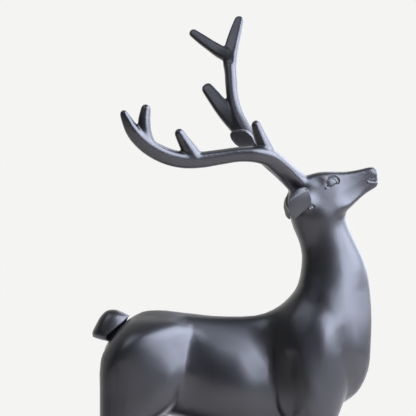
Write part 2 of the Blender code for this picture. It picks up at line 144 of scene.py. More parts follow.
def face_outwards(piece: bpy.types.Object) -> None:
    """Turn all faces of a closed object outwards.

    Args:
        piece: the object.
    """
    pick(piece)
    bpy.ops.object.mode_set(mode="EDIT")
    bpy.ops.mesh.select_all(action="SELECT")
    bpy.ops.mesh.normals_make_consistent(inside=False)
    bpy.ops.object.mode_set(mode="OBJECT")


def join(name: str, pieces: Sequence[bpy.types.Object]) -> bpy.types.Object:
    """Join objects into one.

    Args:
        name: the joined object's name.
        pieces: the objects, the first of which stays.

    Returns:
        The joined object.
    """
    deselect_all()
    for piece in pieces:
        piece.select_set(True)
    bpy.context.view_layer.objects.active = pieces[0]
    bpy.ops.object.join()
    pieces[0].name = name
    return pieces[0]


def smooth_rows(rows: Sequence[Sequence[float]], spacing: float) -> list[np.ndarray]:
    """Run a smooth curve through rows of numbers and read it at even steps.

    Args:
        rows: the named stations, equal in length.
        spacing: the step between two rows read, in millimetres.

    Returns:
        The rows read.
    """
    table = np.array(rows, dtype=float)
    steps = np.linalg.norm(np.diff(table, axis=0), axis=1)
    place = np.concatenate(([0.0], np.cumsum(steps)))
    slope = np.gradient(table, place, axis=0)
    result = []
    for at in np.linspace(0.0, place[-1], max(2, int(round(place[-1] / spacing)) + 1)):
        span = min(int(np.searchsorted(place, at, side="right")) - 1, len(place) - 2)
        width = place[span + 1] - place[span]
        t = (at - place[span]) / width
        start = (1 + 2 * t) * (1 - t) ** 2 * table[span] + t * (1 - t) ** 2 * width * slope[span]
        end = t * t * (3 - 2 * t) * table[span + 1] + t * t * (t - 1) * width * slope[span + 1]
        result.append(start + end)
    return result


def lozenge(sides: int, roundness: float = 2.0) -> list[tuple[float, float]]:
    """Lay out a ring from lozenge to box, one unit in radius where it crosses its two axes.

    Args:
        sides: how many points the ring has.
        roundness: 2 for a circle; less makes the ring a lozenge, and more makes it boxy.

    Returns:
        The points.
    """
    points = []
    for number in range(sides):
        angle = 2 * math.pi * number / sides
        x, y = math.cos(angle), math.sin(angle)
        reach = (abs(x) ** roundness + abs(y) ** roundness) ** (-1 / roundness)
        points.append((x * reach, y * reach))
    return points


def half_round(sides: int, keel: float) -> list[tuple[float, float]]:
    """Lay out a ring that is domed towards +X, with two sharp corners and a narrow keel towards -X.

    Args:
        sides: how many points the dome has.
        keel: how far the keel reaches past the corners; it is about a third as wide as the dome.

    Returns:
        The points.
    """
    dome = np.linspace(-math.pi / 2, math.pi / 2, sides)
    ring = [(2 * math.cos(angle) - 1, math.sin(angle)) for angle in dome]
    return ring + [(-0.95, 0.5), (-1 - keel, 0.3), (-1 - keel, -0.3), (-0.95, -0.5)]


class RingDrawer:
    """Draws a form out of a filled circle, ring by ring, with edit-mode operators.

    The open face stays selected, so each step extrudes, turns and resizes it.
    """

    def __init__(self, name: str, outline: Sequence[tuple[float, float]]) -> None:
        """Start with a filled ring, flat at the origin.

        Args:
            name: the object's name.
            outline: the ring's points, in millimetres.
        """
        deselect_all()
        bpy.ops.mesh.primitive_circle_add(vertices=len(outline), radius=MM, fill_type="NGON")
        self.piece = bpy.context.object
        self.piece.name = name
        for point, (x, y) in zip(self.piece.data.vertices, outline):
            point.co = (x * MM, y * MM, 0)
        self.centre = Vector((0.0, 0.0, 0.0))
        self.rotation = Quaternion()
        self.size = (MM, MM)
        bpy.ops.object.mode_set(mode="EDIT")
        bpy.ops.mesh.select_all(action="SELECT")

    def turn(self, rotation: Quaternion) -> None:
        """Turn the open face about its centre; the operator counts angles the other way.

        Args:
            rotation: the turn.
        """
        for axis, angle in zip("XYZ", rotation.to_euler("XYZ")):
            if abs(angle) > TINY:
                bpy.ops.transform.rotate(value=-angle, orient_axis=axis, center_override=self.centre)

    def step(self, centre: Vector, rotation: Quaternion, size: tuple[float, float],
             draw: bool = True) -> None:
        """Bring the open face to a new place, turn and size.

        Args:
            centre: the new centre, in metres.
            rotation: the turn from the flat ring to the new one.
            size: the half sizes along the ring's own X and Y, in metres.
            draw: whether to extrude on the way or only to shift.
        """
        way = centre - self.centre
        if draw:
            bpy.ops.mesh.extrude_region_move(TRANSFORM_OT_translate={"value": way})
        else:
            bpy.ops.transform.translate(value=way)
        self.centre = centre
        across, along = size[0] / self.size[0], size[1] / self.size[1]
        if abs(across - along) < TINY:
            self.turn(rotation @ self.rotation.inverted())
            bpy.ops.transform.resize(value=(across, across, across), center_override=centre)
        else:
            self.turn(self.rotation.inverted())
            bpy.ops.transform.resize(value=(across, along, 1.0), center_override=centre)
            self.turn(rotation)
        self.rotation, self.size = rotation, size

    def finish(self) -> bpy.types.Object:
        """Close the form.

        Returns:
            The finished object, its faces pointing out.
        """
        bpy.ops.object.mode_set(mode="OBJECT")
        face_outwards(self.piece)
        return self.piece


class Ring(NamedTuple):
    """One ring of a mass: the two ends of its long axis, in metres, its half width, taper and bulk."""

    end_a: Vector
    end_b: Vector
    half_width: float
    taper: float
    bulk: float = 0.0

    @property
    def half(self) -> Vector:
        """Half of the long axis, pointing to end a."""
        return (self.end_a - self.end_b) / 2

    @property
    def centre(self) -> Vector:
        """The middle of the long axis."""
        return (self.end_a + self.end_b) / 2


def draw_rings(name: str, rings: Sequence[Ring], outline: Sequence[tuple[float, float]]) -> bpy.types.Object:
    """Draw a form through rings whose second axis is Y.

    Args:
        name: the object's name.
        rings: the rings in order.
        outline: the shape of each ring.

    Returns:
        The closed form.
    """
    drawer = RingDrawer(name, outline)
    for number, ring in enumerate(rings):
        half = ring.half
        tilt = Quaternion((0, 1, 0), -math.atan2(half.z, half.x))
        drawer.step(ring.centre, tilt, (half.length, ring.half_width), draw=number > 0)
    piece = drawer.finish()
    for number, ring in enumerate(rings):
        half, centre = ring.half, ring.centre
        for point in piece.data.vertices[number * len(outline):(number + 1) * len(outline)]:
            along = (point.co - centre).dot(half) / half.length_squared
            across = (point.co.y - centre.y) / ring.half_width
            quarter = (2 * along * across / (along**2 + across**2)) ** 2
            point.co = centre + (point.co - centre) * (1 + ring.bulk * quarter)
            point.co.y = centre.y + (point.co.y - centre.y) * (1 + ring.taper * along)
    return piece


def melt(name: str, pieces: Sequence[bpy.types.Object], grain: float, passes: int) -> bpy.types.Object:
    """Melt closed forms into one skin and soften its hollows.

    Args:
        name: the skin's name.
        pieces: the forms, which may cross.
        grain: the size of the skin's facets, in metres.
        passes: how many times the skin is smoothed.

    Returns:
        The skin.
    """
    skin = join(name, pieces)
    apply_modifier(skin, "REMESH", mode="VOXEL", voxel_size=grain)
    apply_modifier(skin, "SMOOTH", factor=SMOOTHING, iterations=passes)
    return skin


# ------------------------------------------------------------------------------ the animal


@dataclass
class Torso:
    """Rump, barrel, chest and neck as one sweep, from the buttocks up into the skull."""

    spacing: float = 2.0
    sides: int = 48
    roundness: float = 2.4
    sections: tuple[Section, ...] = (
        Section(-76.8, 154.5, -78.0, 139.0, 7.0),  # buttock
        Section(-71.8, 161.8, -73.0, 124.0, 13.0),
        Section(-63.0, 171.3, -62.5, 116.0, 17.2, -0.10),  # croup
        Section(-52.5, 177.6, -50.0, 112.5, 19.5, -0.10),
        Section(-38.5, 178.5, -35.0, 109.5, 19.2, -0.08),
        Section(-22.0, 176.5, -20.0, 106.5, 18.2, -0.12, -0.04),  # waist
        Section(-8.0, 174.9, -5.0, 101.0, 21.2, -0.16, -0.09),
        Section(6.0, 174.3, 10.0, 96.5, 22.2, -0.17, -0.13),  # ribs
        Section(17.0, 174.5, 24.0, 94.5, 21.2, -0.16, -0.13),
        Section(26.0, 175.9, 42.0, 95.5, 19.6, -0.08, -0.08),  # girth
        Section(33.5, 178.8, 58.0, 102.0, 19.8),
        Section(40.5, 183.5, 76.0, 115.5, 20.6, 0.02, 0.02),  # withers
        Section(45.5, 188.5, 88.8, 125.5, 21.5, 0.03, 0.03),  # brisket
        Section(48.7, 193.0, 94.8, 137.2, 21.6, -0.03, 0.03),
        Section(51.0, 200.0, 97.2, 158.0, 19.4, -0.03, 0.03),  # foot of the neck
        Section(52.2, 209.3, 97.3, 185.0, 15.7, 0.06),
        Section(52.2, 215.5, 93.8, 208.0, 13.4, 0.22),
        Section(51.2, 220.5, 88.5, 220.5, 13.0, 0.16),
        Section(49.9, 224.5, 83.2, 231.5, 13.7, 0.12),  # throat
        Section(47.2, 231.0, 81.0, 238.5, 15.1, 0.08),
        Section(44.5, 240.0, 80.4, 244.0, 16.0, 0.08),
        Section(45.0, 250.0, 78.0, 249.0, 14.4, 0.16),
        Section(51.0, 256.5, 73.0, 252.0, 7.0),  # inside the skull
    )

    def build(self) -> bpy.types.Object:
        """Return the torso and neck."""
        return draw_mass("torso", self.sections, self.spacing, lozenge(self.sides, self.roundness))


def draw_mass(name: str, sections: Sequence[Section], spacing: float,
              outline: Sequence[tuple[float, float]]) -> bpy.types.Object:
    """Draw a mass that lies on the middle plane.

    Args:
        name: the object's name.
        sections: the stations, in millimetres.
        spacing: the step between rings, in millimetres.
        outline: the shape of each ring.

    Returns:
        The closed mass.
    """
    rings = []
    for x_a, z_a, x_b, z_b, half_width, taper, bulk in smooth_rows(sections, spacing):
        end_a, end_b = Vector((x_a, 0, z_a)), Vector((x_b, 0, z_b))
        rings.append(Ring(end_a * MM, end_b * MM, half_width * MM, taper, bulk))
    return draw_rings(name, rings, outline)


@dataclass
class Head:
    """Skull, jaw and muzzle."""

    spacing: float = 1.2
    sides: int = 48
    roundness: float = 6.0
    sections: tuple[Section, ...] = (
        Section(43.4, 256.5, 45.5, 248.0, 4.5),  # back of the skull
        Section(45.4, 261.0, 52.0, 242.5, 10.5),
        Section(51.5, 264.5, 60.0, 239.5, 13.8, -0.08),
        Section(57.5, 267.2, 68.0, 238.2, 14.0, -0.12),  # corner of the jaw
        Section(63.5, 268.6, 75.3, 239.4, 12.8, -0.14),
        Section(69.5, 269.0, 81.4, 243.4, 11.2, -0.14),  # brow
        Section(75.5, 268.9, 85.6, 247.2, 9.3, -0.13),
        Section(81.0, 269.0, 89.4, 250.8, 7.9, -0.12),  # bridge of the nose
        Section(87.0, 269.8, 93.3, 254.2, 6.7, -0.10),
        Section(92.5, 271.0, 97.2, 256.7, 5.8, -0.08),
        Section(97.2, 272.0, 100.2, 258.5, 5.2, -0.05),  # muzzle
        Section(100.4, 271.6, 101.6, 259.6, 4.4),
        Section(101.7, 269.3, 101.9, 261.5, 3.0),
    )

    def build(self) -> bpy.types.Object:
        """Return the head."""
        return draw_mass("head", self.sections, self.spacing, lozenge(self.sides, self.roundness))


@dataclass
class Leg:
    """A leg with its haunch or shoulder, drawn down to the hoof.

    step carries the leg along X, in full from the height where it hangs free.
    """

    name: str
    side: Side
    levels: list[Level]
    step: float = 0.0
    step_starts: float = 130.0
    step_full: float = 90.0
    spacing: float = 2.0
    sides: int = 36
    roundness: float = 2.0

    def build(self) -> bpy.types.Object:
        """Draw the leg from its top down to the hoof.

        Returns:
            The closed leg.
        """
        rings = []
        for z, front, back, half_width, side, taper in smooth_rows(self.levels, self.spacing):
            share = (self.step_starts - z) / (self.step_starts - self.step_full)
            shift = self.step * min(1.0, max(0.0, share))
            y = self.side.value * side
            end_a, end_b = Vector((front + shift, y, z)), Vector((back + shift, y, z))
            rings.append(Ring(end_a * MM, end_b * MM, half_width * MM, -taper))
        return draw_rings(self.name, rings, lozenge(self.sides, self.roundness))


SHOULDER_SIDE = 12.0
HIND_LEVELS = [
    Level(174.6, -30.0, -56.0, 7.0, 4.4, 0.1),
    Level(171.0, -23.5, -63.0, 12.2, 8.0, 0.3),
    Level(166.0, -20.5, -68.0, 14.2, 10.4, 0.44),
    Level(158.0, -21.0, -73.5, 15.0, 12.6, 0.52),
    Level(150.0, -21.4, -77.8, 15.3, 13.6, 0.44),
    Level(140.0, -22.8, -79.3, 15.4, 13.6, 0.28),
    Level(130.0, -25.2, -79.3, 15.3, 13.5, 0.14),
    Level(121.0, -28.5, -79.3, 15.0, 13.4, 0.08),
    Level(113.5, -35.5, -79.3, 14.5, 13.4, 0.04),  # flank fold
    Level(105.5, -46.5, -79.0, 12.9, 13.7, 0.05),
    Level(96.0, -54.0, -78.5, 11.2, 14.4),
    Level(84.0, -58.5, -78.0, 8.8, 15.2),
    Level(72.0, -63.0, -79.0, 6.8),
    Level(62.0, -66.5, -81.6, 5.6),  # hock
    Level(54.0, -69.0, -81.4, 5.0),
    Level(44.0, -69.0, -78.6, 4.3),
    Level(32.0, -67.3, -76.2, 4.1),  # cannon
    Level(23.0, -65.2, -75.2, 4.8),  # fetlock
    Level(17.5, -63.0, -72.3, 4.5),  # pastern
    Level(13.5, -60.3, -72.3, 5.4),
    Level(7.0, -57.0, -72.8, 6.4),  # hoof
]
FORE_LEVELS = [
    Level(187.0, 66.0, 50.0, 7.0, 6.0),
    Level(180.0, 71.5, 43.0, 10.8, 9.2, -0.10),
    Level(172.0, 75.8, 37.0, 12.4, 10.6, -0.12),
    Level(164.0, 78.6, 34.5, 13.5, 11.4, -0.10),
    Level(154.0, 80.8, 32.0, 14.6, SHOULDER_SIDE),
    Level(142.0, 82.0, 31.5, 15.5, SHOULDER_SIDE, 0.08),
    Level(130.0, 81.4, 32.0, 16.1, SHOULDER_SIDE, 0.12),
    Level(119.0, 78.4, 34.5, 15.9, SHOULDER_SIDE, 0.12),
    Level(108.0, 74.4, 40.5, 13.4, 12.2, 0.08),  # elbow
    Level(98.0, 72.0, 46.5, 10.0, 13.4),
    Level(86.0, 69.6, 51.0, 8.3, 14.4),
    Level(72.0, 67.6, 54.0, 6.8, 15.3),
    Level(60.0, 67.6, 55.2, 6.3),  # knee
    Level(53.0, 66.8, 55.8, 5.6),
    Level(43.0, 65.6, 56.6, 4.3),
    Level(31.0, 65.2, 56.6, 4.1),  # cannon
    Level(23.0, 66.2, 56.2, 4.8),  # fetlock
    Level(17.5, 68.0, 58.0, 4.5),  # pastern
    Level(13.5, 70.6, 58.6, 5.4),
    Level(7.0, 73.6, 57.8, 6.4),  # hoof
]


FLANK_GAIN = 1.6  # a flank takes the full stroke up to about 40 degrees from square
FLANK_EDGE = 0.2
PATCH_PASSES = 14


@dataclass(frozen=True)
class Blend:
    """A round patch, seen from the side, where the surface is rubbed smooth; sizes in millimetres."""

    x: float
    z: float
    reach: float
    passes: int


@dataclass(frozen=True)
class Stroke:
    """One pass of the modelling tool along both flanks, seen from the side; sizes in millimetres.

    It lifts the surface by height on the line, fading out over reach_left to the left of the
    line's direction and over reach_right to the right of it.
    """

    line: tuple[tuple[float, float], ...]
    height: float
    reach_left: float
    reach_right: float
    spacing: float = 3.0

    def lift(self, x: np.ndarray, z: np.ndarray) -> np.ndarray:
        """Work out how far each point is lifted.

        Args:
            x: the points' X, in millimetres.
            z: the points' Z, in millimetres.

        Returns:
            The lift of each point, in millimetres.
        """
        nearest = np.full(len(x), np.inf)
        side = np.zeros(len(x))
        line = smooth_rows(self.line, self.spacing)
        for (x_a, z_a), (x_b, z_b) in zip(line, line[1:]):
            way_x, way_z = x_b - x_a, z_b - z_a
            along = ((x - x_a) * way_x + (z - z_a) * way_z) / (way_x**2 + way_z**2)
            along = np.clip(along, 0.0, 1.0)
            off_x, off_z = x - x_a - along * way_x, z - z_a - along * way_z
            distance = np.hypot(off_x, off_z)
            closer = distance < nearest
            nearest[closer] = distance[closer]
            side[closer] = (way_x * off_z - way_z * off_x)[closer]
        reach = np.where(side > 0, self.reach_left, self.reach_right)
        share = np.clip(1 - (nearest / reach) ** 2, 0.0, 1.0)
        return self.height * share**2


def read_points(piece: bpy.types.Object, what: str = "co") -> np.ndarray:
    """Read what an object's points hold, one row each.

    Args:
        piece: the object.
        what: "co" for their places, in metres, or "normal" for the directions they face in.

    Returns:
        The rows.
    """
    rows = np.empty(len(piece.data.vertices) * 3)
    piece.data.vertices.foreach_get(what, rows)
    return rows.reshape(-1, 3)


def write_points(piece: bpy.types.Object, points: np.ndarray) -> None:
    """Put an object's points in new places."""
    piece.data.vertices.foreach_set("co", points.ravel())
    piece.data.update()


def mark_points(piece: bpy.types.Object, share: np.ndarray) -> str:
    """Give the points of an object a share in what a modifier does.

    Args:
        piece: the object.
        share: the share of each point.

    Returns:
        The name of the vertex group that holds the shares.
    """
    group = piece.vertex_groups.new(name="share")
    for index in np.flatnonzero(share):
        group.add([int(index)], float(share[index]), "REPLACE")
    return group.name


def smooth_patch(piece: bpy.types.Object, share: np.ndarray, passes: int) -> None:
    """Smooth a part of an object.

    Args:
        piece: the object.
        share: how far each point takes part.
        passes: how many times it is smoothed.
    """
    group = mark_points(piece, share)
    apply_modifier(piece, "SMOOTH", factor=SMOOTHING, iterations=passes, vertex_group=group)
    piece.vertex_groups.clear()


def sculpt(piece: bpy.types.Object, strokes: Sequence[Stroke]) -> None:
    """Run the modelling tool over both flanks of an object, fading out where it turns away.

    Args:
        piece: the object.
        strokes: the strokes.
    """
    points, normals = read_points(piece), read_points(piece, "normal")
    lift = sum(stroke.lift(points[:, 0] / MM, points[:, 2] / MM) for stroke in strokes)
    facing = np.clip(np.abs(normals[:, 1]) * FLANK_GAIN - FLANK_EDGE, 0.0, 1.0)
    points[:, 1] += np.sign(points[:, 1]) * lift * facing * MM
    write_points(piece, points)


@dataclass(frozen=True)
class Patch:
    """A rectangle, seen from the side, where fine detail is carved; its corners in millimetres."""

    low: tuple[float, float]
    high: tuple[float, float]

    def holds(self, points: np.ndarray) -> np.ndarray:
        """Tell for each row of points, in metres, whether it lies in the patch."""
        x, z = points[:, 0] / MM, points[:, 2] / MM
        return (x > self.low[0]) & (x < self.high[0]) & (z > self.low[1]) & (z < self.high[1])


def carve(piece: bpy.types.Object, patches: Sequence[Patch], strokes: Sequence[Stroke], cuts: int) -> None:
    """Refine patches of an object and carve fine strokes into them, straight in from the surface.

    Args:
        piece: the object.
        patches: where the mesh is refined.
        strokes: the strokes.
        cuts: into how many more parts each edge is divided.
    """
    points = read_points(piece)
    inside = np.any([patch.holds(points) for patch in patches], axis=0)
    pick(piece)
    bpy.ops.object.mode_set(mode="EDIT")
    bpy.ops.mesh.select_mode(type="VERT")
    bpy.ops.mesh.select_all(action="DESELECT")
    bpy.ops.object.mode_set(mode="OBJECT")
    piece.data.vertices.foreach_set("select", inside)
    bpy.ops.object.mode_set(mode="EDIT")
    bpy.ops.mesh.select_mode(type="FACE")
    bpy.ops.mesh.subdivide(number_cuts=cuts)
    bpy.ops.mesh.quads_convert_to_tris()
    bpy.ops.object.mode_set(mode="OBJECT")
    points = read_points(piece)
    inside = np.any([patch.holds(points) for patch in patches], axis=0)
    smooth_patch(piece, inside, PATCH_PASSES)
    points, normals = read_points(piece), read_points(piece, "normal")
    lift = sum(stroke.lift(points[:, 0] / MM, points[:, 2] / MM) for stroke in strokes)
    points += normals * np.where(inside, lift, 0.0)[:, None] * MM
    write_points(piece, points)


def rub(piece: bpy.types.Object, blends: Sequence[Blend]) -> None:
    """Rub patches of an object smooth, in full over the inner third of each patch's reach.

    Args:
        piece: the object.
        blends: the patches.
    """
    for blend in blends:
        points = read_points(piece) / MM
        distance = np.hypot(points[:, 0] - blend.x, points[:, 2] - blend.z)
        smooth_patch(piece, np.clip(1.5 - 1.5 * distance / blend.reach, 0.0, 1.0), blend.passes)


def soften_rim(piece: bpy.types.Object, width: float, crisp: float) -> None:
    """Round the edges of an object that bend by more than crisp; the width is in metres."""
    apply_modifier(piece, "BEVEL", width=width, segments=3, limit_method="ANGLE", angle_limit=crisp)


@dataclass
class Tail:
    """A short leaf-shaped tail that stands off the rump on a keel, with a crisp lower rim."""

    spacing: float = 0.8
    sides: int = 28
    keel: float = 0.8
    rim: float = 0.6 * MM
    crisp: float = math.radians(50)
    sections: tuple[Section, ...] = (
        Section(-60.6, 174.8, -61.4, 173.4, 2.5),  # pointed root on the croup
        Section(-65.2, 177.0, -64.2, 171.4, 5.4),
        Section(-70.0, 178.6, -67.4, 168.8, 7.2),
        Section(-75.5, 177.9, -70.8, 166.0, 8.4),
        Section(-79.6, 174.1, -73.6, 163.7, 9.1),
        Section(-82.6, 168.8, -75.4, 161.8, 9.4),
        Section(-84.9, 163.8, -75.7, 159.7, 8.6),
        Section(-84.7, 161.0, -77.2, 158.8, 5.0),  # tip
    )

    def build(self) -> bpy.types.Object:
        """Draw the tail and soften its rim.

        Returns:
            The closed tail.
        """
        tail = draw_mass("tail", self.sections, self.spacing, half_round(self.sides, self.keel))
        soften_rim(tail, self.rim, self.crisp)
        return tail


@dataclass
class Ear:
    """A drooping ear: a domed root on the skull that ends in a flat leaf with a crisp rim.

    The three outlines are given in X and Z from the skull outwards, the sides as distances in Y.
    lean tips the ear out by that share of its height and turn swings its front edge in. The mound
    that carries it is a row of distances in Y with a radius each.
    """

    side: Side
    setback: float = 0.0
    sides: tuple[float, float, float] = (7.0, 18.4, 20.4)
    lean: float = 0.16
    turn: float = 0.4
    rim: float = 1.4 * MM
    crisp: float = math.radians(12)
    root: tuple[tuple[float, float], ...] = (
        (48.5, 252.0), (49.5, 254.5), (51.0, 256.3), (53.5, 257.0), (56.5, 256.0),
        (58.8, 252.0), (58.2, 249.5), (56.5, 248.0), (54.0, 247.0), (51.5, 246.5),
        (50.0, 247.5), (49.2, 248.6), (48.4, 250.0), (48.2, 251.0),
    )
    dome: tuple[tuple[float, float], ...] = (
        (43.0, 251.9), (45.4, 255.2), (49.0, 257.9), (52.6, 258.8), (55.8, 257.6),
        (57.3, 251.0), (56.4, 247.6), (54.6, 245.8), (51.2, 243.2), (46.6, 239.0),
        (45.0, 240.0), (44.2, 241.6), (43.0, 246.4), (42.7, 250.2),
    )
    leaf: tuple[tuple[float, float], ...] = (
        (43.4, 250.6), (46.4, 252.2), (49.3, 253.8), (52.4, 255.5), (55.4, 257.0),
        (57.7, 250.8), (56.9, 247.0), (55.0, 245.1), (51.8, 242.2), (46.1, 237.2),
        (44.3, 238.6), (43.2, 240.4), (42.0, 245.8), (42.4, 249.4),
    )
    mound_at: tuple[float, float] = (53.4, 249.5)
    mound: tuple[tuple[float, float], ...] = (
        (5.0, 11.0), (9.0, 10.6), (12.0, 9.0), (14.0, 6.4), (15.0, 4.0),
    )

    def foot(self) -> bpy.types.Object:
        """Draw the soft mound that carries the ear, wide where it leaves the skull.

        Returns:
            The closed mound.
        """
        x, z = self.mound_at
        knots = [Knot(x - self.setback, self.side.value * y, z, radius) for y, radius in self.mound]
        name = f"{self.side.name.lower()} ear mound"
        return Branch(name, knots, thickness=1.0, roundness=2.0, fullness=1.0).build()

    def build(self) -> bpy.types.Object:
        """Draw the ear from its root over its dome to the flat leaf.

        Returns:
            The closed ear.
        """
        drawer = RingDrawer(f"{self.side.name.lower()} ear", self.leaf)
        for _ in range(2):
            bpy.ops.mesh.extrude_region_move(TRANSFORM_OT_translate={"value": (0, 0, MM)})
        ear = drawer.finish()
        middle, height = np.mean(self.leaf, axis=0)
        for number, (side, outline) in enumerate(zip(self.sides, (self.root, self.dome, self.leaf))):
            ring = ear.data.vertices[number * len(outline):(number + 1) * len(outline)]
            for point, (x, z) in zip(ring, outline):
                y = side + self.lean * (z - height) - self.turn * (x - middle)
                point.co = Vector((x - self.setback, self.side.value * y, z)) * MM
        face_outwards(ear)
        soften_rim(ear, self.rim, self.crisp)
        return ear


@dataclass
class Branch:
    """One beam or tine of an antler: a tapering bar, a soft lozenge in section, with a domed tip.

    A ridge runs along each side of it, turned from straight outwards by roll. With lies_along the
    broad way of the section follows that direction instead of the plane of the antler. The dome of
    the tip is drawn at the given angles round a ball. A bar that isn't domed ends in a flat face.
    """

    name: str
    knots: list[Knot]
    thickness: float = 0.92
    roundness: float = 1.6
    fullness: float = 1.04
    roll: float = 0.0
    lies_along: tuple[float, float, float] | None = None
    domed: bool = True
    dome: tuple[float, ...] = (0.35, 0.7, 1.0, 1.25, 1.42)
    spacing: float = 1.5
    sides: int = 24

    def build(self) -> bpy.types.Object:
        """Draw the bar along its knots and close its tip.

        Returns:
            The closed bar.
        """
        rows = smooth_rows(self.knots, self.spacing)
        tip, before = Vector(rows[-1][:3]), Vector(rows[-2][:3])
        ahead = (tip - before).normalized()
        radius = rows[-1][3]
        for angle in self.dome if self.domed else ():
            place = tip + ahead * radius * math.sin(angle)
            rows.append(np.array((*place, radius * math.cos(angle))))
        drawer = RingDrawer(self.name, lozenge(self.sides, self.roundness))
        centres = [Vector(row[:3]) for row in rows]
        for number, row in enumerate(rows):
            ahead = centres[min(number + 1, len(rows) - 1)] - centres[max(number - 1, 0)]
            size = (row[3] * self.fullness * MM, row[3] * self.fullness * self.thickness * MM)
            drawer.step(centres[number] * MM, self.attitude(ahead.normalized()), size, draw=number > 0)
        return drawer.finish()

    def attitude(self, ahead: Vector) -> Quaternion:
        """Turn the flat ring to face along the bar.

        Args:
            ahead: the bar's direction, of length one.

        Returns:
            The turn.
        """
        broad = Vector((0, 1, 0)).cross(ahead)
        if self.lies_along:
            broad = Vector(self.lies_along)
        broad = (broad - ahead * broad.dot(ahead)).normalized()
        frame_axes = Matrix((broad, ahead.cross(broad), ahead)).transposed()
        return Quaternion(ahead, self.roll) @ frame_axes.to_quaternion()


@dataclass
class Antler:
    """A beam and its tines."""

    name: str
    branches: list[Branch]

    def build(self) -> list[bpy.types.Object]:
        """Draw the beam and the tines.

        Returns:
            The bars, each closed.
        """
        pieces = [branch.build() for branch in self.branches]
        for piece in pieces:
            piece.name = f"{self.name} {piece.name}"
        return pieces


RIGHT_ANTLER = [
    Branch("beam", [
        Knot(56.0, -4.0, 255.0, 8.0), Knot(49.0, -7.0, 261.5, 7.3), Knot(42.5, -12.0, 267.3, 6.6),
        Knot(36.5, -18.0, 272.7, 6.2), Knot(30.0, -23.5, 277.3, 5.8), Knot(21.5, -28.0, 279.4, 5.2),
        Knot(11.5, -30.0, 279.4, 4.7), Knot(-1.5, -31.6, 277.6, 4.8), Knot(-14.0, -33.6, 275.8, 5.1),
        Knot(-27.0, -36.8, 275.9, 5.2), Knot(-39.6, -40.8, 279.8, 5.2), Knot(-49.2, -44.2, 285.9, 5.0),
        Knot(-56.4, -47.0, 293.7, 4.4), Knot(-60.2, -48.4, 300.6, 3.3), Knot(-61.8, -48.9, 304.0, 2.6),
    ], thickness=0.92, roundness=3.0, fullness=0.98, roll=math.radians(-20)),
    Branch("brow tine", [
        Knot(31.0, -23.0, 277.0, 4.8), Knot(27.4, -23.5, 284.0, 4.7), Knot(24.0, -24.0, 291.4, 4.1),
        Knot(21.6, -25.0, 298.2, 3.2),
    ], roundness=1.8, roll=math.radians(8)),
    Branch("middle tine", [
        Knot(-16.8, -34.6, 275.5, 5.2), Knot(-20.6, -35.6, 281.4, 5.0), Knot(-24.4, -37.0, 287.4, 4.0),
        Knot(-27.2, -38.6, 292.3, 3.2),
    ], roundness=1.8, roll=math.radians(15)),
    Branch("upper tine", [
        Knot(-46.8, -43.2, 285.5, 4.6), Knot(-48.6, -44.0, 291.5, 4.3), Knot(-49.3, -44.4, 299.5, 4.0),
        Knot(-48.3, -43.8, 307.4, 3.2),
    ], roundness=1.7, roll=math.radians(22)),
]
LEFT_ANTLER = [
    Branch("beam", [
        Knot(56.0, 5.0, 255.0, 8.0), Knot(49.2, 7.0, 261.7, 7.0), Knot(40.3, 11.0, 269.6, 6.0),
        Knot(29.7, 17.0, 278.9, 5.6), Knot(20.4, 22.0, 288.7, 5.7), Knot(14.3, 26.0, 298.5, 5.4),
        Knot(9.9, 30.0, 309.0, 4.5), Knot(7.3, 34.0, 320.5, 4.0), Knot(6.4, 38.0, 332.5, 4.1),
        Knot(5.9, 41.0, 341.0, 4.2),
    ], roundness=1.9, roll=math.radians(-12)),
    Branch("crown", [
        Knot(6.4, 38.0, 332.5, 3.2), Knot(5.7, 42.0, 344.0, 4.9), Knot(6.9, 45.0, 354.5, 5.0),
        Knot(9.4, 48.0, 364.5, 4.4), Knot(12.0, 50.0, 373.6, 3.4),
    ], thickness=0.6, roundness=6.0, fullness=0.94, roll=math.radians(-20)),
    Branch("brow tine", [
        Knot(24.0, 20.0, 287.0, 6.0), Knot(16.5, 12.0, 290.0, 7.0), Knot(14.0, 6.0, 291.2, 8.6),
        Knot(13.4, 1.5, 290.4, 8.7),
    ], thickness=0.66, roundness=1.6, lies_along=(1.0, 0.0, -0.4), domed=False),
    Branch("middle tine", [
        Knot(17.0, 26.0, 292.5, 5.4), Knot(10.3, 28.5, 300.7, 6.0), Knot(2.3, 32.0, 310.2, 5.7),
        Knot(-4.6, 36.5, 319.6, 5.0), Knot(-9.2, 39.5, 325.8, 4.3),
    ], thickness=0.65, roundness=5.0, fullness=0.95, roll=math.radians(2)),
    Branch("upper tine", [
        Knot(6.5, 42.5, 347.5, 4.8), Knot(-1.0, 45.0, 351.8, 4.7), Knot(-7.5, 48.0, 356.3, 4.1),
        Knot(-13.0, 50.7, 360.4, 3.8), Knot(-19.2, 53.5, 365.2, 3.1),
    ], thickness=0.65, roundness=5.0, fullness=0.95, roll=math.radians(6)),
]


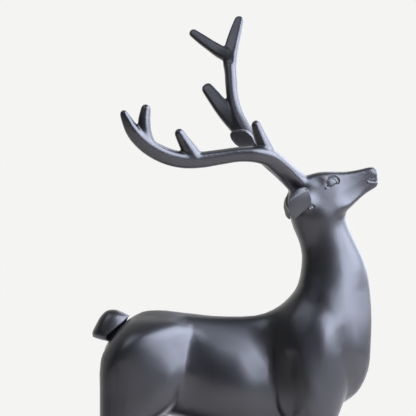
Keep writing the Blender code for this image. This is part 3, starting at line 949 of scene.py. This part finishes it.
@dataclass
class BasePlate:
    """The low base: a plate with round corners and softened edges."""

    length: float = 184 * MM
    width: float = 84 * MM
    height: float = 8 * MM
    corner: float = 34 * MM
    softening: float = 1.6 * MM

    def build(self) -> bpy.types.Object:
        """Make the plate with its underside at z = 0.

        Returns:
            The plate.
        """
        deselect_all()
        bpy.ops.mesh.primitive_cube_add(size=1.0, location=(0, 0, self.height / 2))
        plate = bpy.context.object
        plate.name = "base"
        plate.scale = (self.length, self.width, self.height)
        bpy.ops.object.transform_apply(location=True, rotation=True, scale=True)
        self.bevel(plate, self.corner, 24, upright=True)
        self.bevel(plate, self.softening, 6, upright=False)
        return plate

    @staticmethod
    def bevel(plate: bpy.types.Object, offset: float, segments: int, upright: bool) -> None:
        """Round the upright or the level edges of the plate.

        Args:
            plate: the plate.
            offset: the size of the rounding, in metres.
            segments: how many steps the rounding has.
            upright: whether to take the upright edges.
        """
        pick(plate)
        bpy.ops.object.mode_set(mode="EDIT")
        bpy.ops.mesh.select_mode(type="EDGE")
        bpy.ops.mesh.select_all(action="DESELECT")
        shape = bmesh.from_edit_mesh(plate.data)
        for edge in shape.edges:
            rise = abs(edge.verts[0].co.z - edge.verts[1].co.z)
            edge.select = (rise > MM) == upright
        bmesh.update_edit_mesh(plate.data)
        bpy.ops.mesh.bevel(offset=offset, segments=segments, profile=0.5)
        bpy.ops.object.mode_set(mode="OBJECT")


BLENDS = (
    Blend(-52.0, 172.0, 24.0, 60),  # haunch into the back
    Blend(54.0, 182.0, 24.0, 60),  # shoulder into the neck
    Blend(-73.0, 158.0, 11.0, 40),  # buttock
    Blend(-60.0, 169.0, 14.0, 60),  # croup
    Blend(-42.0, 173.5, 12.0, 50),  # top of the haunch
    Blend(-30.0, 173.0, 12.0, 60),  # loin
    Blend(38.0, 165.0, 16.0, 60),  # back of the shoulder
    Blend(62.0, 230.0, 15.0, 80),  # head into the neck
    Blend(60.0, 249.0, 12.0, 60),  # cheek
    Blend(82.0, 248.0, 12.0, 12),  # lower jaw
    Blend(72.0, 242.0, 12.0, 40),  # throat
)
ANTLER_BLENDS = (
    Blend(29.0, 279.0, 9.0, 25),  # right brow tine
    Blend(-18.0, 279.0, 8.0, 25),  # right middle tine
    Blend(-47.0, 288.0, 8.0, 25),  # right upper tine
    Blend(6.0, 348.0, 9.0, 25),  # left upper tine
    Blend(7.0, 337.0, 8.0, 30),  # left beam into its crown
    Blend(12.0, 302.0, 10.0, 25),  # left middle tine
    Blend(54.0, 263.0, 10.0, 40),  # both antlers into the skull
)
STROKES = (
    Stroke(((73.0, 222.0), (77.5, 208.0), (79.0, 192.0), (76.0, 174.0)), 1.2, 14.0, 16.0),  # neck
    Stroke(((98.0, 188.0), (99.0, 160.0), (91.0, 124.0)), -3.5, 8.0, 22.0),  # breast
    Stroke(((66.0, 190.0), (66.5, 172.0), (68.5, 150.0)), 1.3, 12.0, 12.0),  # shoulder blade
    Stroke(((52.0, 164.0), (50.0, 150.0), (50.5, 136.0), (53.0, 120.0)), 2.4, 25.0, 8.0),  # shoulder muscle
    Stroke(((42.0, 148.0), (43.0, 134.0), (45.0, 120.0)), -4.2, 10.0, 32.0),  # behind the elbow
    Stroke(((56.0, 250.0), (56.5, 252.0)), 1.2, 7.0, 7.0),  # root of the ear
    Stroke(((-84.0, 152.0), (-74.0, 168.0), (-60.0, 177.0), (-44.0, 182.0)), -6.0, 14.0, 17.0),  # croup
    Stroke(((-24.0, 138.5), (-29.0, 136.0)), 1.4, 14.0, 16.0),  # muscle above the flank fold
    Stroke(((60.0, 263.2), (62.0, 262.6)), -0.8, 5.0, 5.0),  # temple
    Stroke(((82.0, 250.5), (90.0, 255.0), (96.0, 258.0), (100.0, 260.0)), -1.2, 9.0, 4.0),  # lower jaw
)

FACE_PATCHES = (
    Patch((65.5, 255.0), (78.5, 267.0)),  # eyes
    Patch((93.0, 257.0), (103.0, 272.5)),  # mouth and nostrils
    Patch((55.0, 241.0), (62.0, 248.5)),  # lobes below the ears
)
FACE_STROKES = (
    Stroke(((68.9, 264.0), (70.6, 264.7), (73.1, 264.7), (75.1, 263.4), (75.8, 261.5), (75.2, 260.2)),
           -0.6, 0.8, 0.8, 0.3),  # fold above the eye
    Stroke(((69.6, 263.2), (71.6, 263.5), (73.6, 262.7), (74.5, 261.2), (74.3, 260.2)),
           0.28, 0.8, 0.8, 0.3),  # upper lid
    Stroke(((70.6, 261.2), (72.0, 261.4)), 0.35, 3.6, 3.6),  # eyeball
    Stroke(((73.9, 260.2), (71.7, 258.9), (69.4, 258.0), (68.2, 258.3)), -0.36, 0.6, 0.6, 0.3),  # lower lid
    Stroke(((68.2, 259.6), (67.9, 258.4)), -0.3, 0.6, 0.6),  # corner of the eye
    Stroke(((67.2, 257.1), (67.9, 257.4)), 0.18, 1.1, 1.1),  # swelling below the corner
    Stroke(((95.4, 262.2), (98.0, 261.8), (101.0, 261.6), (104.0, 261.8)), -0.5, 0.7, 0.7, 0.3),  # mouth
    Stroke(((95.4, 260.8), (98.5, 260.5), (104.0, 260.8)), 0.3, 0.9, 0.9, 0.3),  # lower lip
    Stroke(((97.2, 263.6), (98.6, 264.4)), -0.22, 1.9, 1.9),  # wing of the nose
    Stroke(((99.0, 268.9), (99.6, 268.5)), -0.4, 0.8, 0.8),  # nostril
    Stroke(((56.0, 243.6), (56.4, 243.4)), 0.5, 1.3, 1.3),  # lobe below the ear
    Stroke(((58.2, 245.4), (58.6, 245.2)), -0.35, 1.4, 1.4),  # pit beside the lobe
)


@dataclass
class Casting:
    """The whole casting, as one skin.

    The grains are the sizes of the facets before thinning, which spares what lies above fine_above;
    coarse_weight says how strongly. ear_setback is in millimetres.
    """

    body_grain: float = 1.1 * MM
    body_passes: int = 3
    skin_grain: float = 0.62 * MM
    skin_passes: int = 10
    triangles: int = 134_000
    fine_above: float = 236.0 * MM
    coarse_weight: float = 4.0
    patch_cuts: int = 2
    hoof_sink: float = 1.0 * MM
    ear_setback: float = 0.9
    crisp: float = math.radians(35)

    def body(self) -> bpy.types.Object:
        """Melt and model the body with its head, legs and the mounds of the ears.

        Returns:
            The smooth body.
        """
        masses = [
            Torso().build(),
            Head().build(),
            Leg("right hind leg", Side.RIGHT, HIND_LEVELS, roundness=2.2).build(),
            Leg("left hind leg", Side.LEFT, HIND_LEVELS, step=9.0, step_starts=150.0, step_full=110.0,
                roundness=2.2).build(),
            Leg("right foreleg", Side.RIGHT, FORE_LEVELS, roundness=2.3).build(),
            Leg("left foreleg", Side.LEFT, FORE_LEVELS, step=-5.0, roundness=2.3).build(),
            Ear(Side.RIGHT).foot(),
            Ear(Side.LEFT, setback=self.ear_setback).foot(),
        ]
        body = melt("body", masses, self.body_grain, self.body_passes)
        sculpt(body, STROKES)
        rub(body, BLENDS)
        apply_modifier(body, "SUBSURF", levels=1, render_levels=1)
        return body

    def build(self) -> bpy.types.Object:
        """Build the animal, set it on its base and carve its face.

        Returns:
            The finished casting.
        """
        antlers = Antler("right antler", RIGHT_ANTLER).build() + Antler("left antler", LEFT_ANTLER).build()
        stag = melt("stag", [self.body(), *antlers], self.skin_grain, self.skin_passes)
        rub(stag, ANTLER_BLENDS)
        self.thin_out(stag)
        for part in (Tail(), Ear(Side.RIGHT), Ear(Side.LEFT, setback=self.ear_setback)):
            self.unite(stag, part.build())
        stag.location.z = -self.hoof_sink
        pick(stag)
        bpy.ops.object.transform_apply(location=True, rotation=False, scale=False)
        self.unite(stag, BasePlate().build())
        carve(stag, FACE_PATCHES, FACE_STROKES, self.patch_cuts)
        pick(stag)
        bpy.ops.object.shade_smooth_by_angle(angle=self.crisp)
        return stag

    def thin_out(self, stag: bpy.types.Object) -> None:
        """Lower the number of triangles, mostly below the head and the antlers.

        Args:
            stag: the animal.
        """
        now = sum(len(face.vertices) - 2 for face in stag.data.polygons)
        coarse = mark_points(stag, read_points(stag)[:, 2] < self.fine_above)
        apply_modifier(stag, "DECIMATE", ratio=self.triangles / now, use_collapse_triangulate=True,
                       vertex_group=coarse, vertex_group_factor=self.coarse_weight)
        stag.vertex_groups.clear()

    @staticmethod
    def unite(stag: bpy.types.Object, part: bpy.types.Object) -> None:
        """Unite a part with the animal and take the part away."""
        apply_modifier(stag, "BOOLEAN", operation="UNION", solver="EXACT", object=part)
        bpy.data.objects.remove(part, do_unlink=True)


# ---------------------------------------------------------------------------- the finishes


COLOUR_A, COLOUR_B, COLOUR_OUT = 6, 7, 2  # the Mix node's sockets for colours
NUMBER_OFF, NUMBER_ON, NUMBER_OUT = 2, 3, 0  # and for numbers


def linear(code: str) -> tuple[float, float, float, float]:
    """Turn an sRGB hex colour into a linear one.

    Args:
        code: the colour as #rrggbb.

    Returns:
        Red, green, blue and an alpha of one.
    """
    channels = [int(code[place:place + 2], 16) / 255 for place in (1, 3, 5)]
    mixed = [c / 12.92 if c <= 0.04045 else ((c + 0.055) / 1.055) ** 2.4 for c in channels]
    return (mixed[0], mixed[1], mixed[2], 1.0)


def add_node(tree: bpy.types.NodeTree, kind: str, values: dict | None = None, links: dict | None = None,
             **settings: object) -> bpy.types.Node:
    """Add a node with its settings, socket values and links.

    Args:
        tree: the node tree.
        kind: the node's type.
        values: socket name or number to value.
        links: socket name or number to the output that feeds it.
        settings: attribute name to value.

    Returns:
        The node.
    """
    node = tree.nodes.new(kind)
    for name, value in settings.items():
        setattr(node, name, value)
    for name, value in (values or {}).items():
        node.inputs[name].default_value = value
    for name, source in (links or {}).items():
        tree.links.new(source, node.inputs[name])
    return node


@dataclass(frozen=True)
class SatinResin:
    """Polyester casting resin sprayed satin black: near black, with broad soft highlights.

    The eye gets a fine orange peel from the spray coat, and a slow drift of tone and sheen where the
    coat is thinner or thicker. Edges and tips are polished by handling to a lower roughness, and they
    are painted a little paler, a painted highlight. The peel is drawn at the coarse end of what a
    spray gun leaves, so that it shows at all.
    """

    name: str = "satin black polyester resin"
    dark: str = "#09090b"
    light: str = "#101013"
    # paler colour painted on edges and tips: a painted highlight
    painted_edge_highlight: str = "#1a1a1d"
    satin: float = 0.37
    thin_coat: float = 0.33
    polished: float = 0.31
    ior: float = 1.6
    drift_size: float = 26.0
    drift_detail: float = 3.0
    drift_range: tuple[float, float] = (0.3, 0.7)
    peel_size: float = 1.1
    peel_detail: float = 1.0
    peel_depth: float = 0.006
    edge_reach: float = 0.9
    edge_range: tuple[float, float] = (0.985, 0.9)
    # how far edges take the polish and the painted edge highlight
    edge_highlight_and_polish: float = 0.8

    def make(self) -> bpy.types.Material:
        """Make the finish.

        Returns:
            The material.
        """
        material = bpy.data.materials.new(self.name)
        material.use_nodes = True
        tree = material.node_tree
        shader = tree.nodes["Principled BSDF"]
        shader.inputs["IOR"].default_value = self.ior
        place = add_node(tree, "ShaderNodeTexCoord").outputs["Object"]
        drift = add_node(tree, "ShaderNodeTexNoise", {
            "Scale": 1 / (self.drift_size * MM), "Detail": self.drift_detail,
        }, {"Vector": place}).outputs["Fac"]
        edge = self.painted_highlight_and_polished_edges(tree)
        coat = add_node(tree, "ShaderNodeMix", {COLOUR_A: linear(self.dark), COLOUR_B: linear(self.light)},
                        {"Factor": drift}, data_type="RGBA")
        # painted highlight: edges and tips are mixed towards a paler colour
        colour = add_node(tree, "ShaderNodeMix", {COLOUR_B: linear(self.painted_edge_highlight)},
                          {"Factor": edge, COLOUR_A: coat.outputs[COLOUR_OUT]}, data_type="RGBA")
        tree.links.new(colour.outputs[COLOUR_OUT], shader.inputs["Base Color"])
        sheen = add_node(tree, "ShaderNodeMapRange", {
            "From Min": self.drift_range[0], "From Max": self.drift_range[1],
            "To Min": self.thin_coat, "To Max": self.satin,
        }, {"Value": drift})
        rubbed = add_node(tree, "ShaderNodeMix", {"B": self.polished},
                          {"Factor": edge, "A": sheen.outputs["Result"]}, data_type="FLOAT")
        tree.links.new(rubbed.outputs["Result"], shader.inputs["Roughness"])
        peel = add_node(tree, "ShaderNodeTexNoise", {
            "Scale": 1 / (self.peel_size * MM), "Detail": self.peel_detail,
        }, {"Vector": place})
        bump = add_node(tree, "ShaderNodeBump", {"Strength": 1.0, "Distance": self.peel_depth * MM},
                        {"Height": peel.outputs["Fac"]})
        tree.links.new(bump.outputs["Normal"], shader.inputs["Normal"])
        return material

    def painted_highlight_and_polished_edges(self, tree: bpy.types.NodeTree) -> bpy.types.NodeSocket:
        """Find the edges and tips, where a rounded copy of the surface faces another way: handling polishes
        them, and they carry a painted highlight.

        Args:
            tree: the material's nodes.

        Returns:
            The socket that tells how far each place is polished and painted paler, a painted highlight.
        """
        bevel = add_node(tree, "ShaderNodeBevel", {"Radius": self.edge_reach * MM})
        flat = add_node(tree, "ShaderNodeNewGeometry")
        alike = add_node(tree, "ShaderNodeVectorMath", {}, {
            0: bevel.outputs["Normal"], 1: flat.outputs["Normal"],
        }, operation="DOT_PRODUCT")
        edge = add_node(tree, "ShaderNodeMapRange", {
            "From Min": self.edge_range[0], "From Max": self.edge_range[1],
            "To Min": 0.0, "To Max": self.edge_highlight_and_polish,
        }, {"Value": alike.outputs["Value"]})
        return edge.outputs["Result"]


@dataclass(frozen=True)
class PalePaper:
    """Uncoated paper, rolled out as the floor: pale and quite matt, so that it only takes soft shade."""

    name: str = "matt pale paper"
    tone: str = "#c9c1b8"
    matt: float = 0.9

    def make(self) -> bpy.types.Material:
        """Make the finish.

        Returns:
            The material.
        """
        material = bpy.data.materials.new(self.name)
        material.use_nodes = True
        shader = material.node_tree.nodes["Principled BSDF"]
        shader.inputs["Base Color"].default_value = linear(self.tone)
        shader.inputs["Roughness"].default_value = self.matt
        return material


# ------------------------------------------------------------------------------ the studio


@dataclass(frozen=True)
class Panel:
    """One rectangular light that faces the animal.

    Its azimuth is its bearing in degrees, from the camera towards the animal's front, and its
    elevation the height above the horizon. Its distance and size are in metres, and radiance is
    how bright its face is.
    """

    name: str
    azimuth: float
    elevation: float
    size: tuple[float, float]
    radiance: float
    colour: str
    distance: float = 1.6
    aim: tuple[float, float, float] = (0.0, 0.0, 0.2)

    def build(self) -> None:
        """Hang the light."""
        light = bpy.data.lights.new(self.name, "AREA")
        light.shape = "RECTANGLE"
        light.size, light.size_y = self.size
        light.energy = self.radiance * math.pi * self.size[0] * self.size[1]
        light.color = linear(self.colour)[:3]
        lamp = bpy.data.objects.new(self.name, light)
        turn, lift = math.radians(self.azimuth), math.radians(self.elevation)
        way = Vector((math.sin(turn) * math.cos(lift), -math.cos(turn) * math.cos(lift), math.sin(lift)))
        lamp.location = Vector(self.aim) + way * self.distance
        lamp.rotation_euler = (-way).to_track_quat("-Z", "Y").to_euler()
        bpy.context.scene.collection.objects.link(lamp)


PANELS = (
    Panel("window", 61, 32, (1.9, 1.7), radiance=13.0, colour="#dfe7ff"),
    Panel("side window", 124, 29, (2.3, 1.7), radiance=4.6, colour="#dfe7ff"),
    Panel("left wall", -44, 54, (0.8, 0.8), radiance=3.0, colour="#e4eaff"),
)


@dataclass
class Studio:
    """Pale floor, a room that is bright behind the casting and dim in front, windows and the camera.

    The two bands say over which stretch of the ray's direction the room's wall and its bright
    floor fade in.
    """

    aim: tuple[float, float] = (-9.2 * MM, 244.2 * MM)
    distance: float = 1.1
    view_width: float = 272.5 * MM
    sensor: float = 36.0
    floor_radius: float = 0.85
    floor_sides: int = 96
    paper: str = "#f4f4f3"
    dim: float = 0.15
    wall_band: tuple[float, float] = (0.0, 0.5)
    floor_band: tuple[float, float] = (-0.4, -0.08)

    def build(self) -> None:
        """Lay the floor, light the room and place the camera."""
        self.floor()
        self.room()
        for panel in PANELS:
            panel.build()
        self.camera()
        bpy.context.scene.view_settings.view_transform = "Standard"

    def floor(self) -> None:
        """Lay a round sheet of pale paper."""
        deselect_all()
        bpy.ops.mesh.primitive_circle_add(vertices=self.floor_sides, radius=self.floor_radius,
                                          fill_type="NGON")
        sheet = bpy.context.object
        sheet.name = "floor"
        sheet.data.materials.append(PalePaper().make())

    def room(self) -> None:
        """Give the room a bright wall behind, a dim side in front and a pale tone for the eye."""
        world = bpy.data.worlds.new("room")
        bpy.context.scene.world = world
        world.use_nodes = True
        tree = world.node_tree
        place = add_node(tree, "ShaderNodeTexCoord")
        axes = add_node(tree, "ShaderNodeSeparateXYZ", links={"Vector": place.outputs["Generated"]})
        wall = add_node(tree, "ShaderNodeMapRange", {
            "From Min": self.wall_band[0], "From Max": self.wall_band[1], "To Min": self.dim, "To Max": 1.0,
        }, {"Value": axes.outputs["Y"]}, interpolation_type="SMOOTHSTEP")
        ground = add_node(tree, "ShaderNodeMapRange", {
            "From Min": self.floor_band[0], "From Max": self.floor_band[1], "To Min": 1.0, "To Max": 0.0,
        }, {"Value": axes.outputs["Z"]}, interpolation_type="SMOOTHSTEP")
        both = add_node(tree, "ShaderNodeMath", {}, {
            0: wall.outputs["Result"], 1: ground.outputs["Result"],
        }, operation="ADD")
        ray = add_node(tree, "ShaderNodeLightPath")
        strength = add_node(tree, "ShaderNodeMix", {NUMBER_ON: 1.0}, {
            "Factor": ray.outputs["Is Camera Ray"], NUMBER_OFF: both.outputs["Value"],
        }, data_type="FLOAT")
        background = tree.nodes["Background"]
        background.inputs["Color"].default_value = linear(self.paper)
        tree.links.new(strength.outputs[NUMBER_OUT], background.inputs["Strength"])

    def camera(self) -> None:
        """Set the camera level, square to the animal's right side."""
        data = bpy.data.cameras.new("camera")
        data.sensor_width = self.sensor
        data.lens = self.sensor * self.distance / self.view_width
        camera = bpy.data.objects.new("camera", data)
        camera.location = (self.aim[0], -self.distance, self.aim[1])
        camera.rotation_euler = (math.pi / 2, 0, 0)
        bpy.context.scene.collection.objects.link(camera)
        bpy.context.scene.camera = camera


def main() -> None:
    """Build the casting, its finish and the studio."""
    logging.basicConfig(level=logging.INFO, format="%(name)s: %(message)s")
    casting = Casting().build()
    casting.name = "stag_casting"
    casting.data.materials.clear()
    casting.data.materials.append(SatinResin().make())
    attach(casting, "root")
    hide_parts(NODE)
    log.info("casting: %d faces", len(casting.data.polygons))
    Studio().build()


if __name__ == "__main__":
    main()
